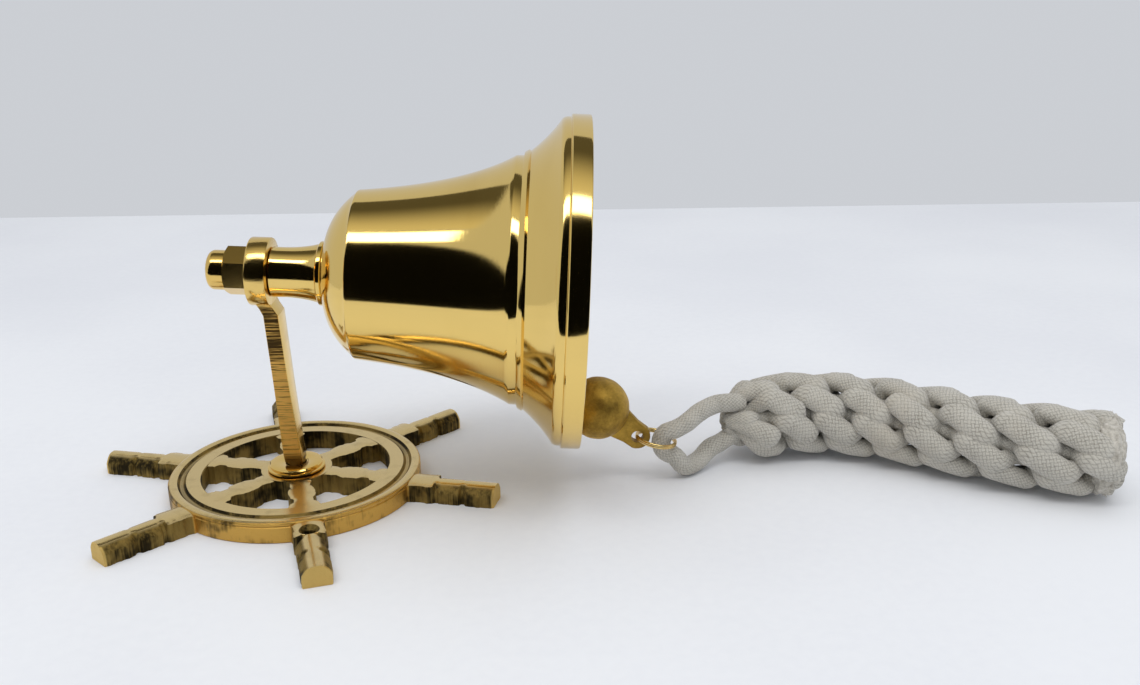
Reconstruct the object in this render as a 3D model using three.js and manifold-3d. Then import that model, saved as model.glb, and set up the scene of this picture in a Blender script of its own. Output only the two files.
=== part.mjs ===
// A wall-mount ship's bell. It stands on the back of its cast wheel, with the bell held out level.
// Millimetres, +Z up. The origin is at the wheel's centre, on its flat back. +X runs from the arm
// towards the bell's mouth. Pieces that share the bell's axis are built along their own +X.
import * as THREE from "three";
import { mergeVertices } from "three/addons/utils/BufferGeometryUtils.js";
import Module from "manifold-3d";

const wasm = await Module();
wasm.setup();

const degree = Math.PI / 180;
const gap = 0.3; // clearance left between neighbouring pieces

// ---------------------------------------------------------------- driving dimensions
// Frame
const mouthClear = 20.4; // from the wheel's back up to the lip, before the bell droops
const mouthDroop = 3 * degree; // the bell's axis falls towards the mouth
const wheelTurn = -13 * degree; // direction of the first spoke, seen from above

// Wheel
const rimRadius = 39;
const rimHeight = 6.8;
const rimWidth = 9.9; // from the windows to the rim's outer edge
const spokeCount = 6;
const ringDrop = 0.4; // the rim's flat ring and the spokes lie this far under its bead
const handleHeight = 6.2;
const handleReach = 27; // from the rim's edge to a handle's end
const hubRadius = 11;
const spokeWaist = 2.9; // half width of a spoke's thin stretches
const spokeSwell = 3.8; // half width of its swelling
const handleRoot = 4.6; // half width of a handle's block next to the rim
const handleGrip = 4.1; // half width of its outer end
const notchDepth = 0.9; // of the notches round a handle
const notchWidth = 1.4;
const screwHoleRadius = 1.9; // for the wall screws
const screwHolePlace = 5; // from the rim's edge out to a wall screw's centre

// Arm
const tenonRadius = 3; // round foot that sits in the hub
const tenonFloor = 3; // material left under the foot
const armFootThickness = 5.6;
const armTopThickness = 4.5;
const armFootWidth = 6.4;
const armTopWidth = 9;
const armLean = 2.4; // how far the bar leans back at its top
const eyeRadius = 10.3;
const eyeThickness = 6.2;
const eyeSetback = 1.6; // front of the eye behind the hub's centre
const footScrewRadius = 1.5;
const footScrewHeadRadius = 2 * footScrewRadius;
const footScrewHeadHeight = 1.6;
const footScrewReach = 5; // above the collar, inside the arm

// Collar on the hub
const collarRadius = hubRadius * 0.81;
const collarHeight = 2;

// Hanger bolt, nuts and washer
const boltRadius = 4;
const nutAcrossFlats = boltRadius * 3.25;
const capNutHexLength = 6.9;
const capNutDomeLength = 5.7;
const capNutDomeRadius = nutAcrossFlats * 0.46;
const capNutEnd = 2.2; // closed end of the cap nut, past the bolt
const lockNutLength = 5;
const washerRadius = 2 * boltRadius;
const washerThickness = 1.2;
const hangEyeRadius = 4.6; // the flat eyes that the link joins
const hangEyeHole = 2.7;
const hangEyeThickness = 3.2;

// Neck
const neckLength = 15.7;
const neckRadius = boltRadius + 3.5;
const neckFlangeRadius = neckRadius + 2.2;
const neckFlangeLength = 1.6;

// Bell
const bellLength = 77.6; // crown seat to mouth
const bellWall = 2.7;
const crownThickness = 3;
const lipRadius = 50;
const lipWidth = 5.9;
const lipRise = 0.8; // the lip stands this far out of the flare
const mouthWall = 1.6;
const shoulderRadius = lipRadius * 0.508;
const shoulderDepth = bellLength * 0.124; // crown seat to shoulder
const waistRadius = lipRadius * 0.756; // at the raised band
const bandDepth = bellLength * 0.753; // crown seat to the raised band
const bandWidth = 1.5;
const bandRise = 0.7;

// Link and clapper
const linkRadius = 5.2; // to the middle of its wire
const linkWire = 0.8; // radius of the wire
const ballRadius = 9.8;
const clapperRodRadius = 2.2;
const tailReach = 15.5; // the ball's centre to the tail's hole
const tailRadius = 4.2;
const tailThickness = 3;
const tailHole = 1.9;

// Ring and lanyard
const ringRadius = 6.2; // to the middle of its wire
const ringWire = 0.55; // radius of the wire
const ringSlope = 12 * degree; // the ring slopes down to the lanyard
const cordRadius = 3;
const plaitRadius = 13.7;

const roundSides = 40;
const smallSides = 24;
const wireSides = 8;
const overrun = 1; // cutters run this far past the face they open

// ---------------------------------------------------------------- solids
// A closed mesh with shared vertices, no slivers and its faces outwards.
function closed(geometry) {
  const bare = new THREE.BufferGeometry();
  bare.setAttribute("position", geometry.getAttribute("position").clone());
  if (geometry.index) bare.setIndex(geometry.index.clone());
  const merged = mergeVertices(bare, 1e-3);
  const position = merged.getAttribute("position");
  const index = merged.index.array;
  const corners = [0, 1, 2].map(() => new THREE.Vector3());
  const kept = [];
  let volume = 0;
  for (let i = 0; i < index.length; i += 3) {
    const [a, b, c] = [index[i], index[i + 1], index[i + 2]];
    if (a === b || b === c || c === a) continue;
    [a, b, c].forEach((vertex, k) => corners[k].fromBufferAttribute(position, vertex));
    volume += corners[0].dot(corners[1].clone().cross(corners[2]));
    kept.push(a, b, c);
  }
  merged.setIndex(volume < 0 ? kept.reverse() : kept);
  return merged;
}

function toSolid(geometry) {
  const shell = closed(geometry);
  const vertProperties = new Float32Array(shell.getAttribute("position").array);
  const triVerts = new Uint32Array(shell.index.array);
  return new wasm.Manifold(new wasm.Mesh({ numProp: 3, vertProperties, triVerts }));
}

function toGeometry(solid) {
  const mesh = solid.getMesh();
  const geometry = new THREE.BufferGeometry();
  geometry.setAttribute("position", new THREE.BufferAttribute(mesh.vertProperties, 3));
  geometry.setIndex(new THREE.BufferAttribute(mesh.triVerts, 1));
  return geometry;
}

function join(...geometries) {
  return toGeometry(geometries.map(toSolid).reduce((whole, part) => whole.add(part)));
}

function cut(geometry, ...tools) {
  return toGeometry(tools.map(toSolid).reduce((rest, tool) => rest.subtract(tool), toSolid(geometry)));
}

function common(first, second) {
  return toGeometry(toSolid(first).intersect(toSolid(second)));
}

// A profile of [along, radius] pairs turned about +Z.
function turnedUp(profile, sides = roundSides) {
  const points = profile.map(([along, radius]) => new THREE.Vector2(radius, along));
  return closed(new THREE.LatheGeometry(points, sides).rotateX(90 * degree));
}

// The same, turned about +X.
function turned(profile, sides = roundSides) {
  return turnedUp(profile, sides).rotateY(90 * degree);
}

// A tube wall or a solid rod along +X.
function rod(start, end, radius, sides = smallSides) {
  return turned([[start, 0], [start, radius], [end, radius], [end, 0]], sides);
}

function ringWall(start, end, inner, outer, sides = smallSides) {
  return turned([[start, inner], [start, outer], [end, outer], [end, inner], [start, inner]], sides);
}

// A disc whose axis is Y, centred on the origin.
function sideDisc(radius, thickness, sides = smallSides) {
  return new THREE.CylinderGeometry(radius, radius, thickness, sides);
}

// Points along a curve between two ends, each as [along, radius].
function bend(start, control, end, steps) {
  const curve = new THREE.QuadraticBezierCurve(
    new THREE.Vector2(...start),
    new THREE.Vector2(...control),
    new THREE.Vector2(...end),
  );
  return curve.getPoints(steps).map((point) => [point.x, point.y]);
}

// A flat outline of [x, y] pairs, given a height from 0 up.
function plate(outline, height) {
  const shape = new THREE.Shape(outline.map(([x, y]) => new THREE.Vector2(x, y)));
  return closed(new THREE.ExtrudeGeometry(shape, { depth: height, bevelEnabled: false }));
}

// Both sides of an outline, from its [along, half width] pairs.
function mirrored(halfWidths) {
  const back = halfWidths.map(([along, half]) => [along, -half]).reverse();
  return [...halfWidths, ...back];
}

// A round cord along a curve.
function cord(curve, radius, sides, steps) {
  const section = new THREE.Shape();
  for (let i = 0; i < sides; i += 1) {
    const angle = ((i + 0.5) / sides) * 2 * Math.PI;
    const corner = [radius * Math.cos(angle), radius * Math.sin(angle)];
    if (i === 0) section.moveTo(...corner);
    else section.lineTo(...corner);
  }
  return closed(new THREE.ExtrudeGeometry(section, { steps, extrudePath: curve }));
}

function hexPrism(start, end, acrossFlats) {
  const radius = acrossFlats / 2 / Math.cos(30 * degree);
  const prism = new THREE.CylinderGeometry(radius, radius, end - start, 6);
  prism.rotateZ(90 * degree);
  prism.translate((start + end) / 2, 0, 0);
  return closed(prism);
}

// A hexagon with its corners chamfered on both ends.
function hexNut(start, end, acrossFlats) {
  const corner = acrossFlats / 2 / Math.cos(30 * degree);
  const flat = acrossFlats / 2;
  const chamfer = (corner - flat) * 0.6;
  const turnedEnds = turned(
    [[start, 0], [start, flat], [start + chamfer, corner], [end - chamfer, corner], [end, flat], [end, 0]],
    smallSides,
  );
  return common(hexPrism(start, end, acrossFlats), turnedEnds);
}

// ---------------------------------------------------------------- finishes
function finish(color, roughness, metalness) {
  return () => new THREE.MeshStandardMaterial({ color, roughness, metalness });
}

const polishedBrass = finish(0xd9b15a, 0.12, 1);
const castBrass = finish(0xb98a35, 0.45, 1);
const clapperBrass = finish(0x8a6a24, 0.6, 1);
const brightBrass = finish(0xe0b65c, 0.25, 1);
const cottonCord = finish(0xbab5a6, 0.95, 0);

function piece(name, geometry, material) {
  const mesh = new THREE.Mesh(geometry, material());
  mesh.name = name;
  return mesh;
}

// ---------------------------------------------------------------- wheel
const windowRadius = rimRadius - rimWidth;
const spokeHeight = rimHeight - ringDrop;
const handleTip = rimRadius + handleReach;
const collarFloor = spokeHeight + gap;
const collarTop = collarFloor + collarHeight;
const axisHeight = lipRadius + mouthClear; // the bell's axis over the hub
const axisTilt = new THREE.Euler(0, mouthDroop, 0);

// The rim's top: a flat inner ring, a cove, a round bead and a thin outer lip.
function rimRing() {
  const coveStart = windowRadius + rimWidth * 0.45;
  const coveEnd = windowRadius + rimWidth * 0.72;
  const coveFloor = rimHeight - 1.5;
  return turnedUp([
    [0, windowRadius],
    [0, rimRadius],
    [rimHeight - 0.8, rimRadius],
    [rimHeight - 0.15, rimRadius - 0.6],
    [rimHeight, rimRadius - 1.5],
    [rimHeight - 0.3, coveEnd],
    [coveFloor + 0.6, coveEnd - 0.1],
    [coveFloor, coveEnd - 0.8],
    [coveFloor, coveStart + 0.8],
    [spokeHeight, coveStart],
    [spokeHeight, windowRadius],
    [0, windowRadius],
  ]);
}

// A spoke inside the rim: wide at both ends, with a stepped swelling between.
function innerSpoke() {
  const start = hubRadius - 3;
  const end = windowRadius + 2;
  const span = windowRadius - hubRadius;
  const halfWidths = [
    [start, spokeSwell],
    [hubRadius, spokeWaist + 0.3],
    [hubRadius + span * 0.2, spokeWaist],
    [hubRadius + span * 0.3, spokeSwell],
    [hubRadius + span * 0.62, spokeSwell],
    [hubRadius + span * 0.66, spokeWaist],
    [hubRadius + span * 0.8, spokeWaist],
    [hubRadius + span * 0.84, spokeSwell + 0.6],
    [end, spokeSwell + 1.4],
  ];
  return plate(mirrored(halfWidths), spokeHeight);
}

// A handle outside the rim: a flat root block, a shorter block and a rounded grip, with notches between.
function handle() {
  const rootEnd = rimRadius + handleReach * 0.3;
  const blockEnd = rimRadius + handleReach * 0.61;
  const notch = (start, half) => [
    [start, half],
    [start + 0.4, half - notchDepth],
    [start + notchWidth, half - notchDepth],
    [start + notchWidth + 0.5, handleGrip + 0.1],
  ];
  const halfWidths = [
    [rimRadius - 3, handleRoot + 0.8],
    [rimRadius + 2, handleRoot],
    ...notch(rootEnd, handleRoot),
    ...notch(blockEnd, handleGrip),
    [handleTip - 0.7, handleGrip - 0.2],
    [handleTip, handleGrip - notchDepth],
  ];
  const outline = plate(mirrored(halfWidths), handleHeight);
  return common(outline, handleSection());
}

// The handle's cross-section: flat underneath, with its top edges rounded off.
function handleSection() {
  const heights = [
    [0, handleRoot + 1],
    [handleHeight * 0.45, handleRoot + 1],
    [handleHeight * 0.86, handleRoot - 1],
    [handleHeight, handleRoot - 2],
  ];
  const bar = plate(mirrored(heights), handleTip);
  return bar.rotateY(90 * degree).rotateX(180 * degree);
}

function wallScrewCutter() {
  const place = rimRadius + screwHolePlace;
  const sink = screwHoleRadius * 1.7;
  const profile = [
    [-overrun, 0],
    [-overrun, screwHoleRadius],
    [handleHeight - (sink - screwHoleRadius), screwHoleRadius],
    [handleHeight, sink],
    [handleHeight + overrun, sink],
    [handleHeight + overrun, 0],
  ];
  return turnedUp(profile, smallSides).translate(place, 0, 0);
}

// The pocket for the arm's foot, the screw's way through, and the recess for its head.
function hubCutter() {
  const screwWay = footScrewRadius + gap;
  const headWay = footScrewHeadRadius + gap;
  return turnedUp(
    [
      [-overrun, 0],
      [-overrun, headWay],
      [0, headWay],
      [footScrewHeadHeight, screwWay],
      [tenonFloor, screwWay],
      [tenonFloor, tenonRadius + gap],
      [rimHeight + overrun, tenonRadius + gap],
      [rimHeight + overrun, 0],
    ],
    smallSides,
  );
}

function wheelCasting() {
  const hub = turnedUp([[0, 0], [0, hubRadius], [spokeHeight, hubRadius], [spokeHeight, 0]], smallSides);
  const arms = [];
  const holes = [];
  for (let i = 0; i < spokeCount; i += 1) {
    const turn = wheelTurn + (i * 2 * Math.PI) / spokeCount;
    arms.push(innerSpoke().rotateZ(turn), handle().rotateZ(turn));
    const carriesScrew = i % (spokeCount / 2) === spokeCount / 2 - 1;
    if (carriesScrew) holes.push(wallScrewCutter().rotateZ(turn));
  }
  return cut(join(rimRing(), hub, ...arms), hubCutter(), ...holes);
}

// ---------------------------------------------------------------- hub collar, arm and foot screw
function hubCollar() {
  const bore = tenonRadius + gap;
  const edge = 0.5;
  return turnedUp([
    [collarFloor, bore],
    [collarFloor, collarRadius],
    [collarFloor + 0.7, collarRadius],
    [collarFloor + 0.8, collarRadius - edge],
    [collarTop - 0.4, collarRadius - edge],
    [collarTop, collarRadius - edge - 0.5],
    [collarTop, bore],
    [collarFloor, bore],
  ]);
}

const footScrewTop = collarTop + footScrewReach;
const eyeFront = -eyeSetback;
const eyeBack = eyeFront - eyeThickness;
const eyeMiddle = (eyeFront + eyeBack) / 2;

// A point on the bell's axis, and the tilt that the pieces on it share.
function onAxis(along, below = 0) {
  const local = new THREE.Vector3(along, 0, -below);
  return local.applyEuler(axisTilt).add(new THREE.Vector3(0, 0, axisHeight));
}

// The bar seen from the side: it leans back as it rises, then steps back into the eye.
function armSide() {
  const eyeCentre = onAxis(eyeMiddle);
  const barTop = eyeCentre.z - eyeRadius - 2.5;
  const underNeck = axisHeight - neckRadius - 1.5;
  const foot = collarTop + 3;
  const back = [
    [-tenonRadius, tenonFloor + gap],
    [-tenonRadius, collarTop],
    [-armFootThickness * 0.6, foot],
    [-armLean / 2 - armTopThickness * 0.57, (foot + barTop) / 2],
    [-armLean - armTopThickness / 2, barTop],
    [eyeCentre.x - eyeThickness * 0.45, underNeck + 3],
    [eyeCentre.x - eyeThickness * 0.45, eyeCentre.z],
  ];
  const front = [
    [eyeCentre.x + eyeThickness * 0.4, eyeCentre.z],
    [eyeCentre.x + eyeThickness * 0.4, underNeck],
    [-armLean + armTopThickness / 2, barTop],
    [-armLean / 2 + armTopThickness * 0.5, (foot + barTop) / 2],
    [armFootThickness * 0.4, foot],
    [tenonRadius, collarTop],
    [tenonRadius, tenonFloor + gap],
  ];
  const depth = 2 * eyeRadius;
  return plate([...back, ...front], depth).rotateX(90 * degree).translate(0, depth / 2, 0);
}

// The bar seen from the front: it widens towards the eye.
function armFront() {
  const barTop = axisHeight - eyeRadius;
  const halfWidths = [
    [tenonFloor, tenonRadius],
    [collarTop, tenonRadius],
    [collarTop + 3, armFootWidth / 2],
    [barTop, armTopWidth / 2],
    [barTop + eyeRadius * 0.4, armTopWidth * 0.7],
    [axisHeight, armTopWidth * 0.7],
  ];
  const depth = 4 * eyeRadius;
  return plate(mirrored(halfWidths), depth).rotateY(-90 * degree).translate(depth / 2, 0, 0);
}

function bracketArm() {
  const bar = common(armSide(), armFront());
  const footGrip = turnedUp(
    [
      [0, 0],
      [0, tenonRadius],
      [collarTop + gap, tenonRadius],
      [collarTop + 1, 2 * eyeRadius],
      [axisHeight, 2 * eyeRadius],
      [axisHeight, 0],
    ],
    smallSides,
  );
  const eye = turned(
    [
      [eyeBack, 0],
      [eyeBack, eyeRadius - 0.5],
      [eyeBack + 0.5, eyeRadius],
      [eyeFront - 0.5, eyeRadius],
      [eyeFront, eyeRadius - 0.5],
      [eyeFront, 0],
    ],
    roundSides,
  );
  const bore = rod(eyeBack - 2 * overrun, eyeFront + 2 * overrun, boltRadius + gap);
  [eye, bore].forEach((shape) => shape.rotateY(mouthDroop).translate(0, 0, axisHeight));
  const screwWay = footScrewRadius + gap;
  const screwHole = turnedUp(
    [[0, 0], [0, screwWay], [footScrewTop + gap, screwWay], [footScrewTop + gap, 0]],
    smallSides,
  );
  return cut(join(common(bar, footGrip), eye), bore, screwHole);
}

function footScrew() {
  return turnedUp(
    [
      [0, 0],
      [0, footScrewHeadRadius],
      [footScrewHeadHeight, footScrewRadius],
      [footScrewTop, footScrewRadius],
      [footScrewTop, 0],
    ],
    smallSides,
  );
}

// ---------------------------------------------------------------- pieces along the bell's axis
const capNutFace = eyeBack - gap;
const capNutShoulder = capNutFace - capNutHexLength;
const capNutTip = capNutShoulder - capNutDomeLength;
const neckStart = eyeFront + gap;
const neckEnd = neckStart + neckLength;
const crownSeat = neckEnd + gap;
const mouth = crownSeat + bellLength;
const washerStart = crownSeat + crownThickness + gap;
const lockNutStart = washerStart + washerThickness + gap;
const lockNutEnd = lockNutStart + lockNutLength;
const hangEyePlace = lockNutEnd + 1 + hangEyeRadius;
const pivotPlace = hangEyePlace + 2 * linkRadius;
const mouthInner = lipRadius - mouthWall;

function capNut() {
  const roundEnd = capNutDomeRadius * 0.55;
  const dome = turned(
    [
      [capNutShoulder + overrun, 0],
      [capNutShoulder + overrun, capNutDomeRadius],
      ...bend(
        [capNutTip + roundEnd, capNutDomeRadius],
        [capNutTip, capNutDomeRadius],
        [capNutTip, capNutDomeRadius * 0.4],
        6,
      ),
      [capNutTip, 0],
    ],
    smallSides,
  );
  const bore = rod(capNutTip + capNutEnd, capNutFace + overrun, boltRadius + gap);
  return cut(join(hexNut(capNutShoulder, capNutFace, nutAcrossFlats), dome), bore);
}

// The bolt runs from inside the cap nut to a flat eye inside the crown.
function hangerBolt() {
  const shank = rod(capNutTip + capNutEnd + gap, hangEyePlace - hangEyeRadius + overrun, boltRadius);
  const eye = sideDisc(hangEyeRadius, hangEyeThickness).translate(hangEyePlace, 0, 0);
  const hole = sideDisc(hangEyeHole, 4 * boltRadius).translate(hangEyePlace, 0, 0);
  return cut(join(shank, eye), hole);
}

function neckSpacer() {
  const flangeStart = neckEnd - neckFlangeLength;
  const bore = boltRadius + gap;
  return turned(
    [
      [neckStart, bore],
      [neckStart, neckRadius + 0.1],
      ...bend(
        [neckStart + 2, neckRadius],
        [neckStart + neckLength * 0.57, neckRadius],
        [flangeStart, neckFlangeRadius - 0.4],
        5,
      ),
      [flangeStart + 0.1, neckFlangeRadius],
      [neckEnd, neckFlangeRadius],
      [neckEnd, bore],
      [neckStart, bore],
    ],
    smallSides,
  );
}

// The flare between the raised band and the lip, in depth and radius.
const flareStart = bandDepth + bandWidth;
const lipStart = bellLength - lipWidth;
const flareEnd = lipRadius - lipRise;

function flarePoint(alongShare, outShare) {
  const along = flareStart + (lipStart - flareStart) * alongShare;
  return [along, waistRadius + (flareEnd - waistRadius) * outShare];
}

// How the sides of the bell draw in between the shoulder and the band.
function waistPull(inwards = 0) {
  return [bandDepth * 0.7, shoulderRadius * 1.126 - inwards];
}

// Outside of the bell from the crown seat to the mouth, as [depth, radius].
function bellOutside() {
  const seat = neckFlangeRadius + 0.2;
  return [
    [0, seat],
    ...bend(
      [0.05, seat + 0.4],
      [shoulderDepth * 0.16, shoulderRadius * 0.75],
      [shoulderDepth - 0.3, shoulderRadius - 0.5],
      5,
    ),
    [shoulderDepth, shoulderRadius],
    ...bend([shoulderDepth + 0.3, shoulderRadius + 0.1], waistPull(), [bandDepth, waistRadius], 6),
    [bandDepth + 0.1, waistRadius + bandRise],
    [flareStart, waistRadius + 2 * bandRise],
    ...bend([flareStart + 0.1, waistRadius + 1], flarePoint(0.52, 0.47), [lipStart, flareEnd], 4),
    [lipStart + 0.1, lipRadius - 0.3],
    [lipStart + 0.5, lipRadius],
    [bellLength - 0.5, lipRadius],
    [bellLength, lipRadius - 0.5],
  ];
}

// Inside of the bell from the mouth back to the flat under the crown.
function bellInside() {
  const shoulderInside = shoulderRadius - bellWall;
  const waistInside = waistRadius - bellWall;
  return [
    [bellLength, mouthInner],
    [lipStart, flareEnd - bellWall],
    ...bend([lipStart - 1, flareEnd - bellWall - 1], flarePoint(0.47, 0.2), [bandDepth + 1, waistInside], 3),
    ...bend([bandDepth - 1, waistInside - 0.5], waistPull(bellWall), [shoulderDepth + 3, shoulderInside], 5),
    ...bend(
      [shoulderDepth + 1, shoulderInside - 0.6],
      [crownThickness + 1.5, (shoulderInside + washerRadius) * 0.57],
      [crownThickness, washerRadius + 2.5],
      3,
    ),
  ];
}

function bellBody() {
  const bore = boltRadius + gap;
  const profile = [[0, bore], ...bellOutside(), ...bellInside(), [crownThickness, bore], [0, bore]];
  return turned(profile).translate(crownSeat, 0, 0);
}

function crownWasher() {
  return ringWall(washerStart, washerStart + washerThickness, boltRadius + gap, washerRadius);
}

function lockNut() {
  const bore = rod(lockNutStart - overrun, lockNutEnd + overrun, boltRadius + gap);
  return cut(hexNut(lockNutStart, lockNutEnd, nutAcrossFlats), bore);
}

// ---------------------------------------------------------------- link and clapper
function clapperLink() {
  const wire = new THREE.TorusGeometry(linkRadius, linkWire, wireSides, smallSides);
  return closed(wire.translate(hangEyePlace + linkRadius, 0, 0));
}

// The clapper hangs until its ball meets the lip's inner edge, with a small gap left there.
const edgeDistance = Math.hypot(mouth - pivotPlace, mouthInner);
const edgeAngle = Math.atan2(mouthInner, mouth - pivotPlace);
const clapperReach = edgeDistance - 0.5; // pivot to the ball's centre
const contact = ballRadius + gap;
const ballToEdge = Math.acos(
  (clapperReach ** 2 + edgeDistance ** 2 - contact ** 2) / (2 * clapperReach * edgeDistance),
);
const restAngle = edgeAngle - ballToEdge;

// Built along +X from its pivot: an eye, a rod, the ball, and a flat tail with a hole.
function clapper() {
  const tailPlace = clapperReach + tailReach;
  const eye = sideDisc(hangEyeRadius, hangEyeThickness);
  const shaft = turned(
    [
      [hangEyeRadius - 1, 0],
      [hangEyeRadius - 1, clapperRodRadius * 0.85],
      [clapperReach - ballRadius * 0.9, clapperRodRadius * 1.2],
      [clapperReach, clapperRodRadius * 1.2],
      [clapperReach, 0],
    ],
    smallSides,
  );
  const ball = new THREE.SphereGeometry(ballRadius, smallSides, 12).translate(clapperReach, 0, 0);
  const tongue = plate(
    mirrored([
      [clapperReach + ballRadius * 0.5, ballRadius * 0.72],
      [clapperReach + ballRadius * 0.9, tailRadius * 1.2],
      [tailPlace - tailRadius * 0.6, tailRadius * 0.98],
      [tailPlace, tailRadius],
    ]),
    tailThickness,
  ).rotateX(90 * degree).translate(0, tailThickness / 2, 0);
  const tailEnd = sideDisc(tailRadius, tailThickness).translate(tailPlace, 0, 0);
  const pivotHole = sideDisc(hangEyeHole, 2 * ballRadius);
  const ringHole = sideDisc(tailHole, 2 * ballRadius).translate(tailPlace, 0, 0);
  return cut(join(eye, shaft, ball, tongue, tailEnd), pivotHole, ringHole);
}

// ---------------------------------------------------------------- ring and lanyard
const tailAlong = pivotPlace + (clapperReach + tailReach) * Math.cos(restAngle);
const tailBelow = (clapperReach + tailReach) * Math.sin(restAngle);
const tailPoint = onAxis(tailAlong, tailBelow);
const ringEnd = tailPoint
  .clone()
  .add(new THREE.Vector3(Math.cos(ringSlope), 0, -Math.sin(ringSlope)).multiplyScalar(2 * ringRadius));

// Built flat, from the tail's hole at the origin out to +X.
function splitRing() {
  const wire = new THREE.TorusGeometry(ringRadius, ringWire, wireSides, smallSides);
  return closed(wire.translate(ringRadius, 0, 0));
}

// The cord's loop: points as offsets from the ring's outer wire. The middle ones wrap the wire;
// the lower leg comes down to the table and both legs run to the plait.
const plaitHeight = plaitRadius + 0.3;
const loopRoute = [
  [16, 11.4, 21.4 - ringEnd.z],
  [12.4, 9.7, 21.2 - ringEnd.z],
  [8, 5.6, 7.6],
  [3.6, 1.6, 5.8],
  [0, 0, 4.4],
  [-3.2, 0, 3.1],
  [-4.5, 0, 0],
  [-3.2, 0, -3.1],
  [0, 0.4, -5],
  [3.4, 2.2, 3.7 - ringEnd.z],
  [8, 6.2, 3.6 - ringEnd.z],
  [12.4, 9.9, 6.4 - ringEnd.z],
  [16, 11.6, 7.6 - ringEnd.z],
];

// The plait lies on the table in one slow curve: points as [x from the ring's wire, y].
const plaitRoute = [
  [17.4, 12.2],
  [32, 18.8],
  [48, 21.2],
  [64, 17.4],
  [81, 8.4],
  [99, -3.4],
  [117, -12.2],
  [136.5, -17.8],
];

function lanyardLoop() {
  const points = loopRoute.map(([x, y, z]) => new THREE.Vector3(ringEnd.x + x, y, ringEnd.z + z));
  return cord(new THREE.CatmullRomCurve3(points), cordRadius, 8, 34);
}

function lanyardPlait() {
  const points = plaitRoute.map(([x, y]) => new THREE.Vector3(ringEnd.x + x, y, plaitHeight));
  return cord(new THREE.CatmullRomCurve3(points), plaitRadius, 12, 12);
}

// ---------------------------------------------------------------- assembly
const shipBell = new THREE.Group();
shipBell.add(
  piece("wheel_plate", wheelCasting(), castBrass),
  piece("hub_collar", hubCollar(), polishedBrass),
  piece("bracket_arm", bracketArm(), castBrass),
  piece("foot_screw", footScrew(), brightBrass),
);

const head = new THREE.Group();
head.position.set(0, 0, axisHeight);
head.rotation.y = mouthDroop;
head.add(
  piece("cap_nut", capNut(), polishedBrass),
  piece("hanger_bolt", hangerBolt(), brightBrass),
  piece("neck_spacer", neckSpacer(), polishedBrass),
  piece("bell_body", bellBody(), polishedBrass),
  piece("crown_washer", crownWasher(), brightBrass),
  piece("lock_nut", lockNut(), brightBrass),
  piece("clapper_link", clapperLink(), brightBrass),
);
const clapperMesh = piece("clapper", clapper(), clapperBrass);
clapperMesh.position.set(pivotPlace, 0, 0);
clapperMesh.rotation.y = restAngle;
head.add(clapperMesh);
shipBell.add(head);

const ringMesh = piece("split_ring", splitRing(), brightBrass);
ringMesh.position.copy(tailPoint);
ringMesh.rotation.y = ringSlope;
shipBell.add(
  ringMesh,
  piece("lanyard_loop", lanyardLoop(), cottonCord),
  piece("lanyard_plait", lanyardPlait(), cottonCord),
);

export default shipBell;
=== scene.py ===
# A ship's bell on its wheel-shaped wall plate, with its clapper, split ring and plaited lanyard.
import math
import random

import bmesh
import bpy
from mathutils import Matrix, Vector, noise


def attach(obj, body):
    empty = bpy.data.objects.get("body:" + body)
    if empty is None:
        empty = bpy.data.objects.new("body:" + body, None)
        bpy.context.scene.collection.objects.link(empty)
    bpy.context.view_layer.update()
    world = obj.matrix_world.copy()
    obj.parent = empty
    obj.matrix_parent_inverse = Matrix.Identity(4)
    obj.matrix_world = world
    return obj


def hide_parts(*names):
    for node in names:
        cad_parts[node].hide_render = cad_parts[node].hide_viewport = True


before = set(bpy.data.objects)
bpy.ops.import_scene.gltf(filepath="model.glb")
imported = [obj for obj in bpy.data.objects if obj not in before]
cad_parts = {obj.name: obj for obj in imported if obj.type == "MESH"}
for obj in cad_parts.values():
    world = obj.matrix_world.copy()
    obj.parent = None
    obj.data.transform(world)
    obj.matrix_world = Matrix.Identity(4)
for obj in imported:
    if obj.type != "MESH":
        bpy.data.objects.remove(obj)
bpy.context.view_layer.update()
mm = 0.001
fullTurn = 2 * math.pi


# shader maths as plain expressions
class Socket:
    def __init__(self, tree, link):
        self.tree = tree
        self.link = link

    def maths(self, operation, other=None):
        node = self.tree.nodes.new("ShaderNodeMath")
        node.operation = operation
        for i, value in enumerate((self, other)):
            if value is not None:
                feed(self.tree, node.inputs[i], value)
        return Socket(self.tree, node.outputs[0])

    def __add__(self, other):
        return self.maths("ADD", other)

    def __sub__(self, other):
        return self.maths("SUBTRACT", other)

    def __rsub__(self, other):
        return (self * -1) + other

    def __mul__(self, other):
        return self.maths("MULTIPLY", other)

    def __truediv__(self, other):
        return self.maths("DIVIDE", other)

    __radd__ = __add__
    __rmul__ = __mul__

    def ramp(self, low, high):
        # 0 below low, 1 above high, smooth between
        node = self.tree.nodes.new("ShaderNodeMapRange")
        node.interpolation_type = "SMOOTHSTEP"
        feed(self.tree, node.inputs["Value"], self)
        node.inputs["From Min"].default_value = low
        node.inputs["From Max"].default_value = high
        return Socket(self.tree, node.outputs["Result"])


def feed(tree, target, value):
    if isinstance(value, Socket):
        tree.links.new(value.link, target)
    else:
        target.default_value = value


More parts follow.
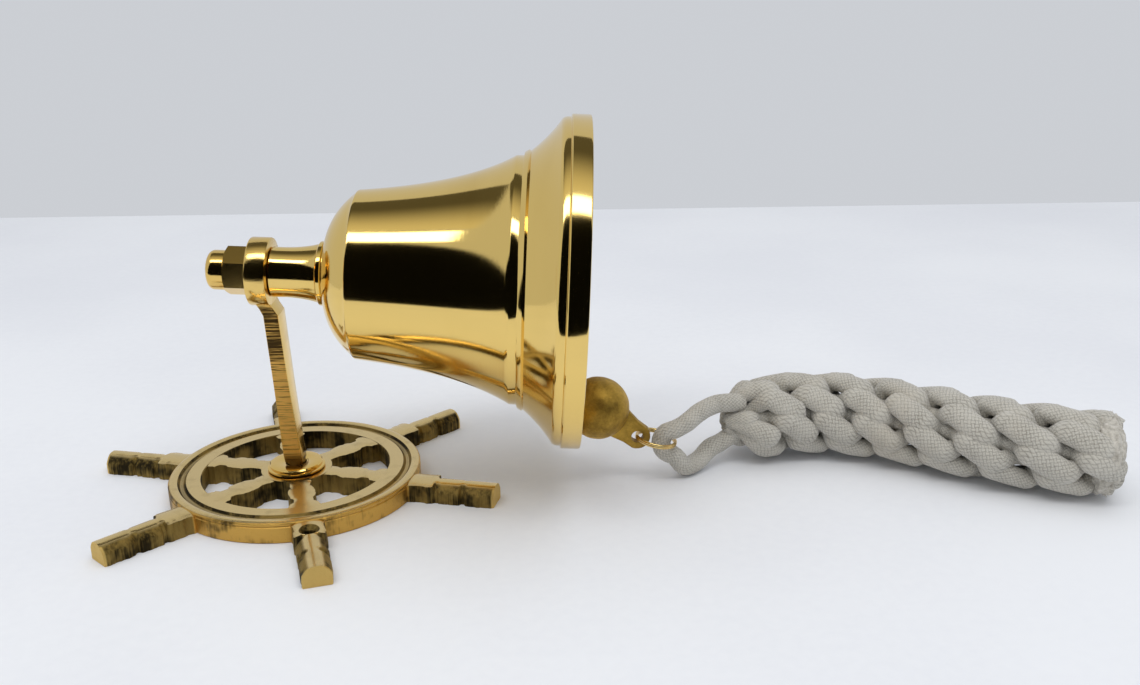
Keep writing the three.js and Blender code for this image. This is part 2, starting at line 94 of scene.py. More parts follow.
class Finish:
    # One material and the few kinds of node it needs.
    def __init__(self, name, **shader):
        self.material = bpy.data.materials.new(name)
        self.material.use_nodes = True
        self.tree = self.material.node_tree
        self.shader = self.tree.nodes["Principled BSDF"]
        for socket, value in shader.items():
            self.set(socket.replace("_", " "), value)
        place = self.node("ShaderNodeTexCoord")
        self.place = Socket(self.tree, place.outputs["Object"])
        self.normal = Socket(self.tree, place.outputs["Normal"])
        self.uv = Socket(self.tree, place.outputs["UV"])

    def set(self, socket, value):
        feed(self.tree, self.shader.inputs[socket], value)

    def node(self, kind, settings=None, values=None):
        made = self.tree.nodes.new(kind)
        for name, value in (settings or {}).items():
            setattr(made, name, value)
        for name, value in (values or {}).items():
            feed(self.tree, made.inputs[name], value)
        return made

    def mapped(self, source, scale=(1, 1, 1), turn=(0, 0, 0), move=(0, 0, 0)):
        made = self.node("ShaderNodeMapping", {"vector_type": "POINT"},
                         {"Vector": source, "Scale": scale, "Rotation": turn, "Location": move})
        return Socket(self.tree, made.outputs[0])

    def noise(self, source, scale, detail=3, rough=0.5):
        made = self.node("ShaderNodeTexNoise", None,
                         {"Vector": source, "Scale": scale, "Detail": detail, "Roughness": rough})
        return Socket(self.tree, made.outputs[0])

    def split(self, source):
        made = self.node("ShaderNodeSeparateXYZ", None, {"Vector": source})
        return [Socket(self.tree, made.outputs[i]) for i in range(3)]

    def combine(self, x, y, z):
        made = self.node("ShaderNodeCombineXYZ", None, {"X": x, "Y": y, "Z": z})
        return Socket(self.tree, made.outputs[0])

    def blend(self, factor, first, second):
        made = self.node("ShaderNodeMix", {"data_type": "RGBA"}, {0: factor})
        feed(self.tree, made.inputs[6], first)
        feed(self.tree, made.inputs[7], second)
        return Socket(self.tree, made.outputs[2])

    def bump(self, height, distance, strength=1.0, under=None):
        values = {"Height": height, "Distance": distance, "Strength": strength}
        if under is not None:
            values["Normal"] = under
        made = self.node("ShaderNodeBump", None, values)
        return Socket(self.tree, made.outputs[0])


def colour(red, green, blue):
    return (red, green, blue, 1)


# shared sizes, as the CAD has them
setting = {
    "axisHeight": 70.4,
    "droop": math.radians(3),
    "wheelTurn": math.radians(-13),
    "ringSlope": math.radians(12),
    "collarTop": 8.7,
    "boltWay": 4.3,  # radius of the way for the hanger bolt
    "screwWay": 1.8,  # radius of the way for the foot screw
    "tenonWay": 3.3,  # radius of the seat for the arm's tenon
}
axisPlace = Matrix.Translation((0, 0, setting["axisHeight"])) @ Matrix.Rotation(setting["droop"], 4, "Y")


def onAxis(along, below=0):
    return axisPlace @ Vector((along, 0, -below))


# a piece is worked in millimetres until it is finished
def finishPiece(shape, name, body, finish, nodes, place=None, sharp=38):
    if place is not None:
        bmesh.ops.transform(shape, matrix=place, verts=shape.verts)
    bmesh.ops.scale(shape, vec=(mm, mm, mm), verts=shape.verts)
    bmesh.ops.recalc_face_normals(shape, faces=shape.faces)
    mesh = bpy.data.meshes.new(name)
    shape.to_mesh(mesh)
    shape.free()
    mesh.polygons.foreach_set("use_smooth", [True] * len(mesh.polygons))
    mesh.set_sharp_from_angle(angle=math.radians(sharp))
    mesh.materials.append(finish.material)
    piece = bpy.data.objects.new(name, mesh)
    bpy.context.scene.collection.objects.link(piece)
    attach(piece, body)
    if nodes:
        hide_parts(*nodes)
    return piece


def curveThrough(start, pull, end, steps):
    # a quadratic bend between two points of a profile
    points = []
    for i in range(steps + 1):
        t = i / steps
        points.append(tuple((1 - t) ** 2 * a + 2 * t * (1 - t) * b + t * t * c
                            for a, b, c in zip(start, pull, end)))
    return points


def turned(profile, steps=96):
    # [along, radius] pairs turned about X
    shape = bmesh.new()
    verts = [shape.verts.new((along, 0, radius)) for along, radius in profile]
    edges = [shape.edges.new(pair) for pair in zip(verts, verts[1:])]
    bmesh.ops.spin(shape, geom=verts + edges, cent=(0, 0, 0), axis=(1, 0, 0), angle=fullTurn,
                   steps=steps, use_merge=True)
    bmesh.ops.remove_doubles(shape, verts=shape.verts, dist=1e-4)
    bmesh.ops.recalc_face_normals(shape, faces=shape.faces)
    return shape


def turnShape(shape, degrees, axis):
    bmesh.ops.rotate(shape, cent=(0, 0, 0), matrix=Matrix.Rotation(math.radians(degrees), 3, axis),
                     verts=shape.verts)


def soften(shape, radius, angle=30, segments=3):
    # rounds every edge that is sharper than the angle
    edges = [e for e in shape.edges if len(e.link_faces) == 2 and e.calc_face_angle() > math.radians(angle)]
    bmesh.ops.bevel(shape, geom=edges, offset=radius, offset_type="OFFSET", affect="EDGES",
                    segments=segments, profile=0.5, material=-1, clamp_overlap=True)
    return shape


def outlined(outline, low, high):
    # a flat outline of [x, y] pairs pulled up from low to high
    shape = bmesh.new()
    verts = [shape.verts.new((x, y, low)) for x, y in outline]
    face = shape.faces.new(verts)
    raised = bmesh.ops.extrude_face_region(shape, geom=[face])["geom"]
    top = [v for v in raised if isinstance(v, bmesh.types.BMVert)]
    bmesh.ops.translate(shape, vec=(0, 0, high - low), verts=top)
    bmesh.ops.recalc_face_normals(shape, faces=shape.faces)
    return shape


def disc(radius, thickness, axis, segments=48, at=(0, 0, 0)):
    shape = bmesh.new()
    bmesh.ops.create_cone(shape, cap_ends=True, cap_tris=False, segments=segments, radius1=radius,
                          radius2=radius, depth=thickness)
    turn = {"X": Matrix.Rotation(math.pi / 2, 4, "Y"), "Y": Matrix.Rotation(math.pi / 2, 4, "X"),
            "Z": Matrix.Identity(4)}[axis]
    bmesh.ops.transform(shape, matrix=Matrix.Translation(at) @ turn, verts=shape.verts)
    return shape


def combined(base, others, operation="UNION"):
    # one solid from several, by Boolean modifiers that are then made real
    holder = meshObject(base, "combining")
    tools = []
    for i, other in enumerate(others):
        tool = meshObject(other, "tool" + str(i))
        tools.append(tool)
        cutter = holder.modifiers.new("join" + str(i), "BOOLEAN")
        cutter.operation = operation
        cutter.solver = "EXACT"
        cutter.object = tool
    bpy.context.view_layer.update()
    result = bmesh.new()
    evaluated = holder.evaluated_get(bpy.context.evaluated_depsgraph_get())
    result.from_mesh(evaluated.to_mesh())
    evaluated.to_mesh_clear()
    bmesh.ops.remove_doubles(result, verts=result.verts, dist=0.002)
    for spare in [holder, *tools]:
        mesh = spare.data
        bpy.data.objects.remove(spare)
        bpy.data.meshes.remove(mesh)
    return result


def meshObject(shape, name):
    mesh = bpy.data.meshes.new(name)
    shape.to_mesh(mesh)
    shape.free()
    made = bpy.data.objects.new(name, mesh)
    bpy.context.scene.collection.objects.link(made)
    return made


def smoothRoute(points, count):
    # evenly spaced points on a Catmull-Rom curve through the given ones
    route = [Vector(p) for p in points]
    ends = [2 * route[0] - route[1], *route, 2 * route[-1] - route[-2]]
    fine = []
    for i in range(len(route) - 1):
        a, b, c, d = ends[i:i + 4]
        for k in range(24):
            t = k / 24
            fine.append(0.5 * (2 * b + (c - a) * t + (2 * a - 5 * b + 4 * c - d) * t * t
                               + (3 * b - a - 3 * c + d) * t ** 3))
    fine.append(route[-1])
    lengths = [0.0]
    for a, b in zip(fine, fine[1:]):
        lengths.append(lengths[-1] + (b - a).length)
    spaced = []
    at = 0
    for k in range(count):
        wanted = lengths[-1] * k / (count - 1)
        while at < len(fine) - 2 and lengths[at + 1] < wanted:
            at += 1
        share = (wanted - lengths[at]) / max(lengths[at + 1] - lengths[at], 1e-9)
        spaced.append(fine[at].lerp(fine[at + 1], min(max(share, 0), 1)))
    return spaced, lengths[-1]


def sweep(shape, centres, outs, widths, heights, sides=14):
    # a closed tube of oval section: heights are half sizes along outs, widths are half sizes across them
    layer = shape.loops.layers.uv.verify()
    ringSoFar = None
    along = 0.0
    count = len(centres)
    for i, centre in enumerate(centres):
        ahead = centres[min(i + 1, count - 1)] - centres[max(i - 1, 0)]
        tangent = ahead.normalized()
        out = (outs[i] - tangent * outs[i].dot(tangent)).normalized()
        side = tangent.cross(out)
        places = []
        for k in range(sides):
            angle = fullTurn * k / sides
            places.append(centre + side * (widths[i] * math.cos(angle))
                          + out * (heights[i] * math.sin(angle)))
        if i:
            along += (centre - centres[i - 1]).length
        if ringSoFar is None:
            made = bmesh.ops.create_circle(shape, cap_ends=True, segments=sides, radius=1)["verts"]
            ringSoFar = list(made)
            for vert, place in zip(ringSoFar, places):
                vert.co = place
            edges = loopEdges(ringSoFar)
        else:
            extruded = bmesh.ops.extrude_edge_only(shape, edges=edges)["geom"]
            newEdges = [g for g in extruded if isinstance(g, bmesh.types.BMEdge)]
            faces = [g for g in extruded if isinstance(g, bmesh.types.BMFace)]
            pairs = {}
            for face in faces:
                for edge in face.edges:
                    first, second = edge.verts
                    if first in ringSet and second not in ringSet:
                        pairs[first] = second
                    elif second in ringSet and first not in ringSet:
                        pairs[second] = first
            ring = [pairs[v] for v in ringSoFar]
            for vert, place in zip(ring, places):
                vert.co = place
            order = {v: (k, before) for k, v in enumerate(ringSoFar)}
            order.update({v: (k, along) for k, v in enumerate(ring)})
            for face in faces:
                numbers = [order[loop.vert][0] for loop in face.loops]
                wraps = max(numbers) - min(numbers) > 1
                for loop in face.loops:
                    k, v = order[loop.vert]
                    if wraps and k == 0:
                        k = sides
                    loop[layer].uv = (k / sides, v)
            ringSoFar = ring
            edges = loopEdges(ring)
        before = along
        ringSet = set(ringSoFar)
    shape.faces.new(ringSoFar)
    return along


def loopEdges(ring):
    found = []
    for first, second in zip(ring, ring[1:] + ring[:1]):
        found.append(next(e for e in first.link_edges if e.other_vert(first) is second))
    return found


print("camera")
cameraFacts = {
    "place": (0.08577, -0.32425, 0.15331),
    "right": 0.30,  # this and the next two in degrees
    "down": 18.20,
    "roll": -0.75,
    "lens": 35.06,
}


def makeCamera():
    data = bpy.data.cameras.new("camera")
    data.lens = cameraFacts["lens"]
    data.sensor_width = 36
    data.clip_start = 0.01
    camera = bpy.data.objects.new("camera", data)
    turn = (Matrix.Rotation(math.radians(-cameraFacts["right"]), 4, "Z")
            @ Matrix.Rotation(math.radians(90 - cameraFacts["down"]), 4, "X")
            @ Matrix.Rotation(math.radians(cameraFacts["roll"]), 4, "Z"))
    camera.matrix_world = Matrix.Translation(cameraFacts["place"]) @ turn
    bpy.context.scene.collection.objects.link(camera)
    bpy.context.scene.camera = camera


makeCamera()


print("cotton cord")
lanyard = {
    "ringEnd": (120.38, 0, 12.98),  # outer side of the split ring
    "cordRadius": 3.0,
    "loop": [(23, 14.6, 7.4), (16, 11.4, 8.5), (12.4, 9.7, 8.2), (8, 5.6, 7.6), (3.6, 1.6, 5.8),
             (0, 0, 4.4), (-3.2, 0, 3.1), (-4.5, 0, 0), (-3.2, 0, -3.1), (0, 0.4, -5),
             (3.4, 2.2, -9.28), (8, 6.2, -9.38), (12.4, 9.9, -6.58), (16, 11.6, -5.38),
             (22, 14.2, -2.5), (29, 17.4, 0), (36, 19.4, 1)],
    "plait": [(17.4, 12.2), (32, 18.8), (48, 21.2), (64, 17.4), (81, 8.4), (99, -3.4), (117, -12.2),
              (131.5, -16.6)],
    "plaitHeight": 14.0,
    "rows": 8,  # rows of cord round the plait
    "strands": 11,
    "pitch": 16.5,  # from one crossing to the next along a row
    "outerRadius": 13.6,
    "diveRadius": 5.2,  # where a strand passes under its neighbours
    "halfWidth": 4.2,
    "halfThickness": 2.9,
    "fibres": 900,  # at the cut end
    "seed": 7,
}


def braid(name, light, dark, strandsAround=16, pitch=1.5):
    # round braided cotton: two crossing sets of yarns that pass over and under each other
    cloth = Finish(name, Roughness=0.92, Sheen_Weight=0.35, Sheen_Roughness=0.6)
    around, along, _ = cloth.split(cloth.uv)
    turn = around * strandsAround
    rise = along / pitch
    rightHanded = turn + rise
    leftHanded = turn - rise
    overRight = (rightHanded * math.pi).maths("SINE").maths("ABSOLUTE")
    overLeft = (leftHanded * math.pi).maths("SINE").maths("ABSOLUTE")
    which = (rightHanded.maths("FLOOR") + leftHanded.maths("FLOOR")).maths("PINGPONG", 1.0)
    height = overRight * which + overLeft * (1 - which)
    wear = cloth.noise(cloth.place, 160, 4, 0.6)
    broad = cloth.noise(cloth.place, 45, 2)
    fibres = cloth.noise(cloth.place, 2600, 2, 0.7)
    # painted shade: the tint is darker where a yarn dives under its neighbours, mixed with random wear and
    # fibre tone
    shade = (height * 0.42 + wear * 0.55 + fibres * 0.60).ramp(0.38, 1.05)
    tint = cloth.blend(shade, colour(*dark), colour(*light))
    stained = cloth.blend(broad.ramp(0.48, 0.72) * 0.35, tint, colour(0.50, 0.44, 0.34))
    cloth.set("Base Color", stained)
    weave = cloth.bump(height, 0.00018, 0.8)
    cloth.set("Normal", cloth.bump(fibres + wear, 0.00030, 0.8, weave))
    return cloth


cottonCord = braid("braided_cotton", (0.56, 0.53, 0.46), (0.24, 0.22, 0.175))


def lanyardPoint(x, y, z):
    return Vector((lanyard["ringEnd"][0] + x, y, z))


def makeLoop():
    # the bight: out of the plait, through the ring and back
    points = [lanyardPoint(x, y, lanyard["ringEnd"][2] + z) for x, y, z in lanyard["loop"]]
    centres, length = smoothRoute(points, 96)
    radius = lanyard["cordRadius"]
    shape = bmesh.new()
    outs = [Vector((0.1, 1, 0.1))] * len(centres)
    wobble = [1 + 0.05 * noise.noise(c * 0.25) for c in centres]
    sweep(shape, centres, outs, [radius * w for w in wobble], [radius * w for w in wobble], 20)
    piece = finishPiece(shape, "lanyard_loop_cord", "lanyard", cottonCord,
                        ["lanyard_loop"], sharp=80)
    return piece, [c * mm for c in centres], length * mm


def plaitFrame():
    points = [lanyardPoint(x, y, lanyard["plaitHeight"]) for x, y in lanyard["plait"]]
    centres, length = smoothRoute(points, 220)
    return centres, length


def plateau(phase):
    # 1 while a strand lies on top, with a short steep dive under its neighbours
    wave = 0.5 + 0.5 * math.cos(fullTurn * phase)
    raised = min(max((wave - 0.02) / 0.62, 0), 1)
    return raised * raised * (3 - 2 * raised)


def makePlait():
    axis, length = plaitFrame()
    random.seed(lanyard["seed"])
    shape = bmesh.new()
    reach = lanyard["pitch"] * lanyard["strands"] / lanyard["rows"]  # one row round in this length
    up = Vector((0, 0, 1))
    top = lanyard["outerRadius"] - lanyard["halfThickness"]
    for strand in range(lanyard["strands"]):
        lead = strand * lanyard["rows"] / lanyard["strands"]
        loose = random.uniform(-0.06, 0.06)
        centres, outs, widths, heights = [], [], [], []
        for i, place in enumerate(axis):
            travel = length * i / (len(axis) - 1)
            ahead = (axis[min(i + 1, len(axis) - 1)] - axis[max(i - 1, 0)]).normalized()
            side = ahead.cross(up).normalized()
            phase = travel / reach + lead + loose + 0.05 * noise.noise(Vector((travel * 0.09, strand, 3)))
            shown = plateau(phase)
            rows = phase + 0.62 * math.sin(fullTurn * phase) / fullTurn
            angle = math.radians(40) - rows * fullTurn / lanyard["rows"]
            angle += 0.08 * noise.noise(Vector((travel * 0.07, strand * 5, 9)))
            radius = lanyard["diveRadius"] + (top - lanyard["diveRadius"]) * shown
            radius += 0.35 * noise.noise(Vector((travel * 0.12, strand * 3, 1)))
            startIn = min(travel / 14, 1)
            endIn = min((length - travel) / 7, 1)
            radius *= 0.12 + 0.88 * math.sin(startIn * math.pi / 2)
            radius *= 0.80 + 0.20 * math.sin(endIn * math.pi / 2)
            slim = 0.35 + 0.65 * math.sin(startIn * math.pi / 2)
            out = side * math.cos(angle) + up * math.sin(angle)
            centres.append(place + out * radius)
            outs.append(out)
            widths.append(slim * (2.6 + (lanyard["halfWidth"] - 2.6) * shown))
            heights.append(slim * lanyard["halfThickness"] * (0.92 + 0.12 * shown))
        sweep(shape, centres, outs, widths, heights, 16)
    return finishPiece(shape, "lanyard_plait_strands", "lanyard", cottonCord,
                       ["lanyard_plait"], sharp=80)


def makeCutEnd():
    # the blunt cut end: a lumpy cap of matted cotton with loose fibres standing out of it
    axis, _ = plaitFrame()
    ahead = (axis[-1] - axis[-4]).normalized()
    place = Matrix.Translation(axis[-1] - ahead * 2.6) @ ahead.to_track_quat("X", "Z").to_matrix().to_4x4()
    wide = lanyard["outerRadius"] - 1.2
    shape = bmesh.new()
    bmesh.ops.create_icosphere(shape, subdivisions=6, radius=1)
    for vert in shape.verts:
        spot = vert.co.copy()
        lumps = 0.9 * noise.noise(spot * 2.6) + 0.55 * noise.noise(spot * 7) + 0.22 * noise.noise(spot * 19)
        blunt = math.copysign(abs(spot.x) ** 0.6, spot.x)
        vert.co = Vector((blunt * 4.8, spot.y * wide, spot.z * wide)) + spot * lumps
    bmesh.ops.transform(shape, matrix=place, verts=shape.verts)
    cap = finishPiece(shape, "lanyard_cut_end", "lanyard", fuzzyCotton, [], sharp=80)
    random.seed(lanyard["seed"])
    fibres = bmesh.new()
    for k in range(lanyard["fibres"]):
        around = random.uniform(0, fullTurn)
        far = random.uniform(0.15, 1) ** 0.5
        lean = Vector((random.uniform(0.1, 1.0), math.cos(around) * far, math.sin(around) * far))
        lean.normalize()
        root = Vector((random.uniform(0, 4.3) * (1.15 - far), math.cos(around) * far * wide,
                       math.sin(around) * far * wide))
        tall = random.uniform(0.5, 1.7)
        turn = lean.to_track_quat("Z", "Y").to_matrix().to_4x4()
        stand = Matrix.Translation(root + lean * tall * 0.5) @ turn
        bmesh.ops.create_cone(fibres, cap_ends=True, segments=4, radius1=0.10, radius2=0.03,
                              depth=tall, matrix=stand)
    bmesh.ops.transform(fibres, matrix=place, verts=fibres.verts)
    loose = finishPiece(fibres, "lanyard_end_fibres", "lanyard", fuzzyCotton, [], sharp=80)
    return [cap, loose]


def mattedCotton():
    cloth = Finish("matted_cotton", Roughness=0.95, Sheen_Weight=0.35, Sheen_Roughness=0.6)
    tufts = cloth.noise(cloth.place, 700, 4, 0.7)
    patches = cloth.noise(cloth.place, 160, 3)
    shade = (tufts * 0.7 + patches * 0.4).ramp(0.38, 0.72)
    cloth.set("Base Color", cloth.blend(shade, colour(0.36, 0.33, 0.27), colour(0.66, 0.62, 0.54)))
    cloth.set("Normal", cloth.bump(tufts + patches, 0.0009, 0.9))
    return cloth


fuzzyCotton = mattedCotton()
loopCord, loopPath, loopLength = makeLoop()
plaitStrands = makePlait()
cutEnd = makeCutEnd()


print("brass finishes")


def turnedBrass(name, tint, rough, lineDepth):
    # polished on a lathe: fine lines round the bell's axis, a little haze and tarnish
    brass = Finish(name, Metallic=1.0)
    straight = brass.mapped(brass.place, turn=(0, -setting["droop"], 0))
    along, _, _ = brass.split(straight)
    fine = brass.noise(brass.combine(along * 5200, 0.0, 0.0), 1.0, 3, 0.7)
    coarse = brass.noise(brass.combine(along * 1100, 0.0, 0.0), 1.0, 2, 0.6)
    patch = brass.noise(brass.mapped(straight, scale=(60, 16, 16)), 1.0, 3)
    haze = brass.noise(straight, 34, 3)
    tarnish = patch.ramp(0.45, 0.8) * 0.5
    deep = tuple(channel * 0.82 for channel in tint)
    browned = colour(deep[0], deep[1] * 0.94, deep[2] * 0.72)
    brass.set("Base Color", brass.blend(tarnish, colour(*tint), browned))
    brass.set("Roughness", fine * 0.07 + haze.ramp(0.4, 0.8) * 0.06 + rough)
    brass.set("Normal", brass.bump(fine * 0.6 + coarse * 0.4, lineDepth, 0.7))
    return brass


bellBrass = turnedBrass("polished_bell_brass", (0.87, 0.62, 0.20), 0.035, 0.000016)
nutBrass = turnedBrass("polished_nut_brass", (0.84, 0.57, 0.17), 0.08, 0.00002)
innerBrass = turnedBrass("turned_inner_brass", (0.70, 0.46, 0.14), 0.28, 0.00006)


def wheelBrass():
    # sand cast, with its top filed flat and polished, dark in the hollows and gold where it was rubbed
    brass = Finish("cast_wheel_brass", Metallic=1.0)
    x, y, z = brass.split(brass.place)
    _, _, up = brass.split(brass.normal)
    outFromHub = (x * x + y * y).maths("SQRT")
    facing = up.ramp(0.72, 0.93)
    high = z.ramp(0.0050, 0.0059)
    polished = facing * high
    grain = brass.noise(brass.place, 900, 4, 0.65)
    lumps = brass.noise(brass.place, 210, 3)
    patches = brass.noise(brass.place, 95, 3, 0.6)
    marks = brass.noise(brass.mapped(brass.place, scale=(1500, 1500, 60)), 1.0, 2, 0.6)
    wall = outFromHub.ramp(0.0380, 0.0386) * (1 - outFromHub.ramp(0.0394, 0.0398))
    rubbed = (patches + marks * 0.35).ramp(0.55, 0.80)
    castTint = brass.blend(rubbed, colour(0.035, 0.026, 0.012), colour(0.36, 0.25, 0.075))
    wallShine = (patches + marks * 0.2).ramp(0.42, 0.62)
    wallTint = brass.blend(wallShine, colour(0.12, 0.075, 0.022), colour(0.66, 0.40, 0.095))
    sideTint = brass.blend(wall, castTint, wallTint)
    tip = outFromHub.ramp(0.0652, 0.0657)
    sideTint = brass.blend(tip, sideTint, colour(0.76, 0.55, 0.19))
    stain = lumps.ramp(0.52, 0.78) * 0.45
    topTint = brass.blend(stain, colour(0.78, 0.58, 0.25), colour(0.50, 0.36, 0.13))
    brass.set("Base Color", brass.blend(polished, sideTint, topTint))
    sideRough = 0.62 - wall * 0.22
    brass.set("Roughness", polished * (0.20 - sideRough) + sideRough + grain * 0.06)
    pits = (grain * 0.6 + lumps * 0.8) * (1 - polished * 0.94) + marks * 0.25 * (1 - polished)
    brass.set("Normal", brass.bump(pits, 0.00045, 0.8))
    return brass


def armBrass():
    # a filed bar: its narrow front keeps the file's level marks, its broad faces are polished
    brass = Finish("filed_arm_brass", Metallic=1.0)
    _, _, z = brass.split(brass.place)
    _, across, _ = brass.split(brass.normal)
    front = across.maths("ABSOLUTE").ramp(0.75, 0.95) * (1 - z.ramp(0.0600, 0.0625))
    marks = brass.noise(brass.mapped(brass.place, scale=(90, 90, 2600)), 1.0, 3, 0.65)
    broad = brass.noise(brass.mapped(brass.place, scale=(60, 60, 170)), 1.0, 2)
    upper = z.ramp(0.030, 0.052) * 0.20
    dark = (marks + upper + broad * 0.15).ramp(0.62, 0.80)
    filed = brass.blend(dark, colour(0.95, 0.60, 0.16), colour(0.10, 0.06, 0.02))
    smooth = brass.blend(broad.ramp(0.4, 0.8) * 0.5, colour(0.86, 0.60, 0.19), colour(0.60, 0.39, 0.11))
    # painted shade: the arm goes almost black towards its foot, where it stands in the collar
    foot = 1 - z.ramp(0.0098, 0.0135)
    bar = brass.blend(front, smooth, filed)
    brass.set("Base Color", brass.blend(foot * 0.85, bar, colour(0.07, 0.035, 0.012)))
    brass.set("Roughness", front * 0.44 + marks * 0.08 + 0.11)
    brass.set("Normal", brass.bump(marks * (front * 0.9 + 0.1), 0.00030, 0.8))
    return brass


def clapperBrass():
    # as cast, rubbed lighter on its high spots
    brass = Finish("cast_clapper_brass", Metallic=0.85)
    grain = brass.noise(brass.place, 1300, 4, 0.7)
    lumps = brass.noise(brass.place, 260, 3)
    patches = brass.noise(brass.place, 70, 3, 0.6)
    tone = (patches * 0.7 + lumps * 0.35 + grain * 0.3).ramp(0.42, 0.90)
    brass.set("Base Color", brass.blend(tone, colour(0.20, 0.115, 0.016), colour(0.68, 0.43, 0.075)))
    brass.set("Roughness", grain * 0.2 + 0.42)
    brass.set("Normal", brass.bump(grain * 0.5 + lumps * 0.5, 0.00035, 0.75))
    return brass


def wireBrass():
    brass = Finish("bright_wire_brass", Metallic=1.0)
    patches = brass.noise(brass.place, 320, 3)
    scratches = brass.noise(brass.place, 2400, 2, 0.7)
    tint = brass.blend(patches.ramp(0.4, 0.75), colour(0.88, 0.66, 0.28), colour(0.60, 0.38, 0.13))
    brass.set("Base Color", tint)
    brass.set("Roughness", scratches * 0.12 + 0.14)
    brass.set("Normal", brass.bump(scratches, 0.00003, 0.5))
    return brass


castWheel = wheelBrass()
filedArm = armBrass()
castClapper = clapperBrass()
brightWire = wireBrass()

print("bell")
bell = {
    "seat": 14.7, "length": 77.6, "wall": 2.7, "crown": 3.0, "shoulderRadius": 25.4, "shoulderDepth": 9.62,
    "waistRadius": 37.8, "bandDepth": 58.43, "bandWidth": 1.5, "bandRise": 0.7, "lipRadius": 50,
    "lipWidth": 5.9, "lipRise": 0.8, "mouthWall": 1.6, "steps": 176,
    "land": 2.5,  # the level strip before the band and before the lip
}


def bellOutside():
    b = bell
    seat = 9.9
    flare = b["bandDepth"] + b["bandWidth"]
    lip = b["length"] - b["lipWidth"]
    flareEnd = b["lipRadius"] - b["lipRise"]
    rise = flareEnd - b["waistRadius"]
    return [
        (0, seat),
        *curveThrough((0.05, seat + 0.4), (b["shoulderDepth"] * 0.16, b["shoulderRadius"] * 0.75),
                      (b["shoulderDepth"] - 0.35, b["shoulderRadius"] - 0.45), 16),
        (b["shoulderDepth"] - 0.05, b["shoulderRadius"]),
        (b["shoulderDepth"] + 0.25, b["shoulderRadius"] + 0.1),
        *curveThrough((b["shoulderDepth"] + 0.6, b["shoulderRadius"] + 0.12),
                      (b["bandDepth"] * 0.7, b["shoulderRadius"] * 1.126),
                      (b["bandDepth"] - b["land"], b["waistRadius"] - 0.5), 30),
        (b["bandDepth"] - b["land"] + 0.25, b["waistRadius"] - 0.43),
        (b["bandDepth"] - 0.3, b["waistRadius"] - 0.36),
        (b["bandDepth"] - 0.05, b["waistRadius"] - 0.2),
        (b["bandDepth"], b["waistRadius"] + b["bandRise"] - 0.1),
        (b["bandDepth"] + 0.25, b["waistRadius"] + b["bandRise"] + 0.1),
        (flare - 0.2, b["waistRadius"] + 2 * b["bandRise"]),
        (flare + 0.1, b["waistRadius"] + 2 * b["bandRise"] - 0.2),
        *curveThrough((flare + 0.3, b["waistRadius"] + 1.05),
                      (flare + (lip - flare) * 0.50, b["waistRadius"] + rise * 0.50),
                      (lip - b["land"], flareEnd - 0.55), 16),
        (lip - b["land"] * 0.7, flareEnd - 0.15),
        (lip - b["land"] * 0.4, flareEnd - 0.02),
        (lip - 0.15, flareEnd),
        (lip, flareEnd + 0.15),
        (lip + 0.1, b["lipRadius"] - 0.25),
        (lip + 0.4, b["lipRadius"]),
        (b["length"] - 0.5, b["lipRadius"]),
        (b["length"] - 0.12, b["lipRadius"] - 0.15),
        (b["length"], b["lipRadius"] - 0.5),
    ]


def bellInside():
    b = bell
    flare = b["bandDepth"] + b["bandWidth"]
    lip = b["length"] - b["lipWidth"]
    flareEnd = b["lipRadius"] - b["lipRise"]
    rise = flareEnd - b["waistRadius"]
    shoulderInside = b["shoulderRadius"] - b["wall"]
    waistInside = b["waistRadius"] - b["wall"]
    return [
        (b["length"], b["lipRadius"] - b["mouthWall"] + 0.25),
        (b["length"] - 0.25, b["lipRadius"] - b["mouthWall"]),
        (lip, flareEnd - b["wall"]),
        *curveThrough((lip - 1, flareEnd - b["wall"] - 1),
                      (flare + (lip - flare) * 0.47, b["waistRadius"] + rise * 0.2),
                      (b["bandDepth"] + 1, waistInside), 8),
        *curveThrough((b["bandDepth"] - 1, waistInside - 0.5),
                      (b["bandDepth"] * 0.7, b["shoulderRadius"] * 1.126 - b["wall"]),
                      (b["shoulderDepth"] + 3, shoulderInside), 16),
        *curveThrough((b["shoulderDepth"] + 1, shoulderInside - 0.6),
                      (4.5, (shoulderInside + 8) * 0.57), (b["crown"], 10.5), 8),
    ]


def makeBell():
    bore = setting["boltWay"]
    profile = [(0, bore), *bellOutside(), *bellInside(), (bell["crown"], bore), (0, bore)]
    shape = turned(profile, bell["steps"])
    bmesh.ops.translate(shape, vec=(bell["seat"], 0, 0), verts=shape.verts)
    finishPiece(shape, "bell_casting", "mounting", bellBrass, ["bell_body"],
                axisPlace, 32)


makeBell()

print("neck, nuts and eye")
neck = {"start": -1.3, "length": 15.7, "radius": 7.5, "flange": 9.7, "flangeLength": 1.6}
capNut = {"face": -8.1, "hexLength": 6.9, "domeLength": 5.7, "domeRadius": 5.98, "acrossFlats": 13.0}


def makeNeck():
    end = neck["start"] + neck["length"]
    flange = end - neck["flangeLength"]
    s = neck["start"]
    bore = setting["boltWay"]
    profile = [
        (s, bore), (s, neck["radius"] - 0.1), (s + 0.2, neck["radius"] + 0.1),
        *curveThrough((s + 1.2, neck["radius"] + 0.02), (s + neck["length"] * 0.57, neck["radius"] - 0.1),
                      (flange - 0.2, neck["flange"] - 0.75), 16),
        (flange, neck["flange"] - 0.35), (flange + 0.25, neck["flange"] - 0.05),
        (flange + 0.5, neck["flange"]), (end - 0.3, neck["flange"]), (end, neck["flange"] - 0.3),
        (end, bore), (s, bore),
    ]
    finishPiece(turned(profile, 96), "neck_turning", "mounting", bellBrass,
                ["neck_spacer"], axisPlace, 35)


